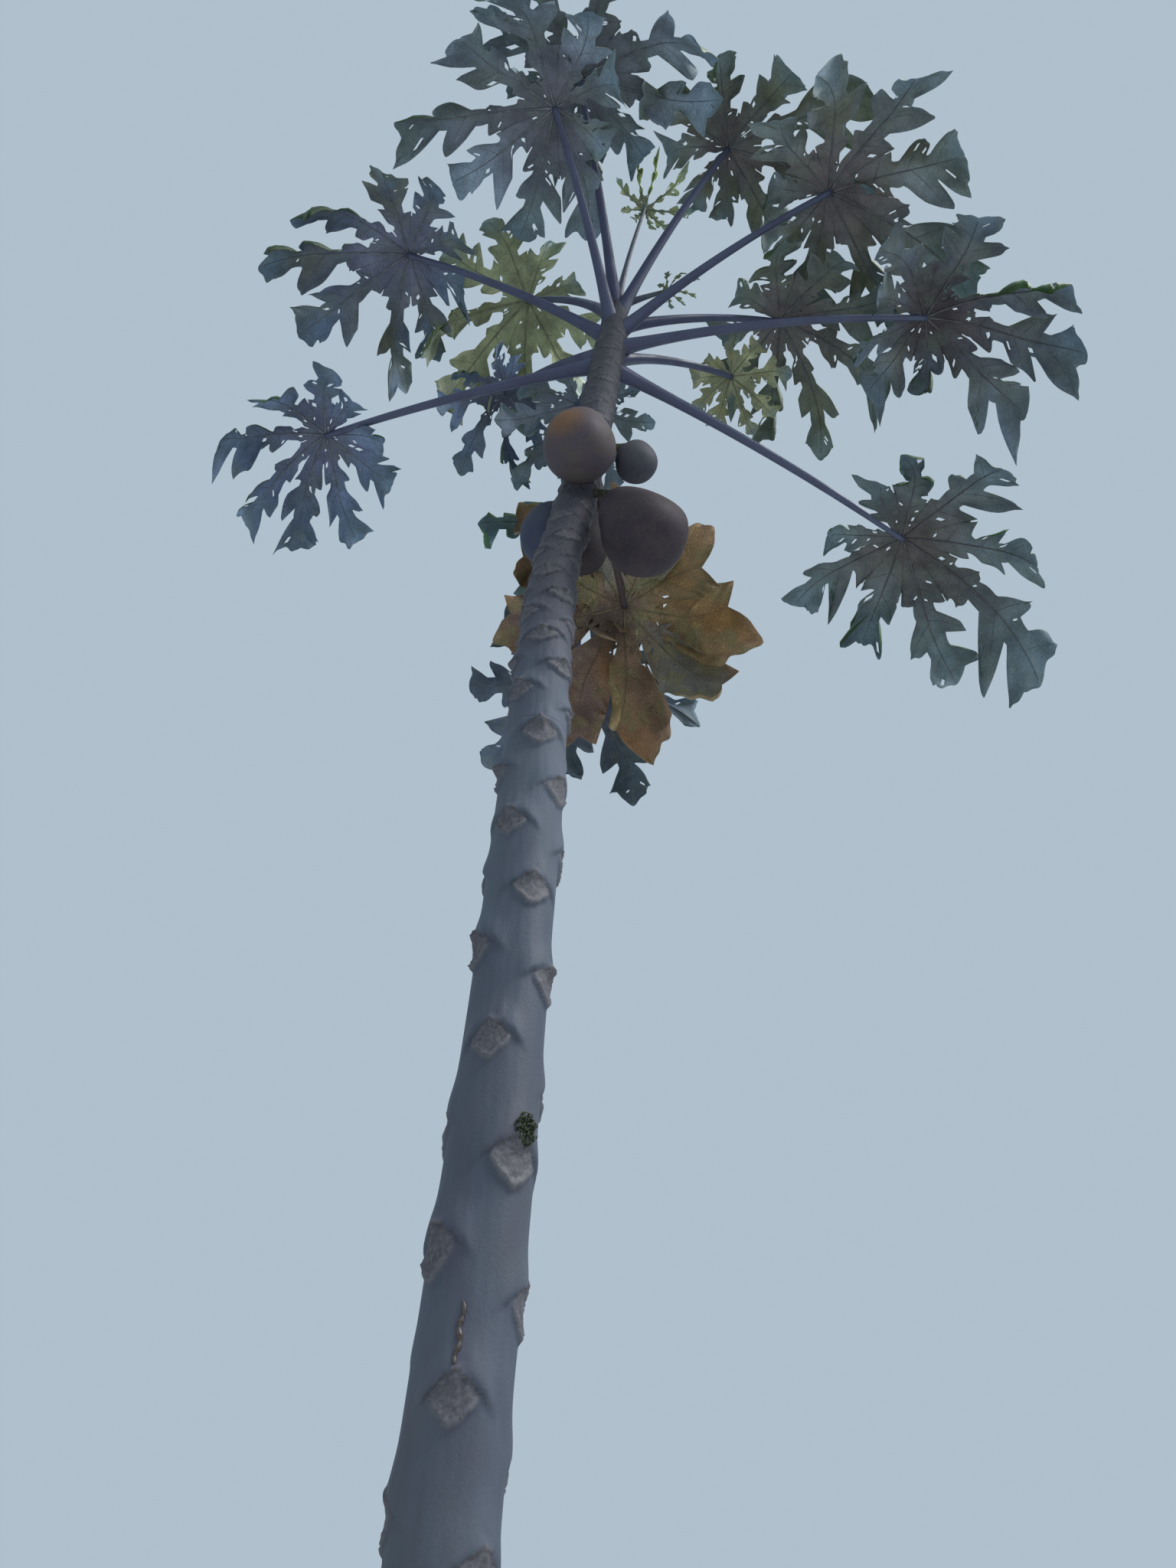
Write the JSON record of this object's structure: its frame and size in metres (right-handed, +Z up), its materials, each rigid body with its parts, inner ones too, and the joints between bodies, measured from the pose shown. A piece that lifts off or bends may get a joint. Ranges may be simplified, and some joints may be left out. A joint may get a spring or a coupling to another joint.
{
  "type": "papaya tree",
  "caption": "Papaya tree in fruit: a bare, slightly leaning trunk ringed with leaf scars, long spreading leaf stalks, deeply cut palm-shaped leaves and fruit under the crown.",
  "frame": {"origin": "centre of the trunk's flat cut at ground level", "axes": "+Z up along the trunk, -Y towards the side that the picture shows, +X to its right"},
  "size_m": [1.8861, 1.5545, 4.6945],
  "materials": {
    "trunk_bark": "smooth grey-green bark, matt, with pinkish leaf scars",
    "stalk": "smooth dark purplish green, waxy satin",
    "leaf_green": "dark green leaf, satin above and matt below, paler ribs",
    "leaf_yellow": "old leaf, yellow to orange, matt",
    "leaf_young": "young leaf, pale yellow-green, satin",
    "fruit_ripe": "ripening skin, green turning yellow, satin",
    "fruit_green": "unripe skin, dark grey-green, satin"
  },
  "bodies": {
    "root": {"trunk": "trunk_bark", "fruit_1": "fruit_ripe", "fruit_2": "fruit_green", "fruit_3": "fruit_green", "fruit_4": "fruit_green", "fruit_5": "fruit_green", "stalk_01": "stalk", "stalk_02": "stalk", "stalk_03": "stalk", "stalk_04": "stalk", "stalk_05": "stalk", "stalk_06": "stalk", "stalk_07": "stalk", "stalk_08": "stalk", "stalk_09": "stalk", "stalk_10": "stalk", "stalk_11": "stalk", "stalk_12": "stalk", "stalk_13": "stalk", "stalk_14": "stalk", "stalk_15": "stalk", "stalk_16": "stalk", "stalk_17": "stalk", "stalk_18": "stalk", "stalk_19": "stalk", "leaf_01": "leaf_young", "leaf_02": "leaf_young", "leaf_03": "leaf_green", "leaf_04": "leaf_green", "leaf_05": "leaf_green", "leaf_06": "leaf_green", "leaf_07": "leaf_green", "leaf_08": "leaf_green", "leaf_09": "leaf_green", "leaf_10": "leaf_green", "leaf_11": "leaf_green", "leaf_12": "leaf_green", "leaf_13": "leaf_green", "leaf_14": "leaf_green", "leaf_15": "leaf_green", "leaf_16": "leaf_green", "leaf_17": "leaf_yellow", "leaf_18": "leaf_yellow", "leaf_19": "leaf_green"}
  },
  "joints": []
}
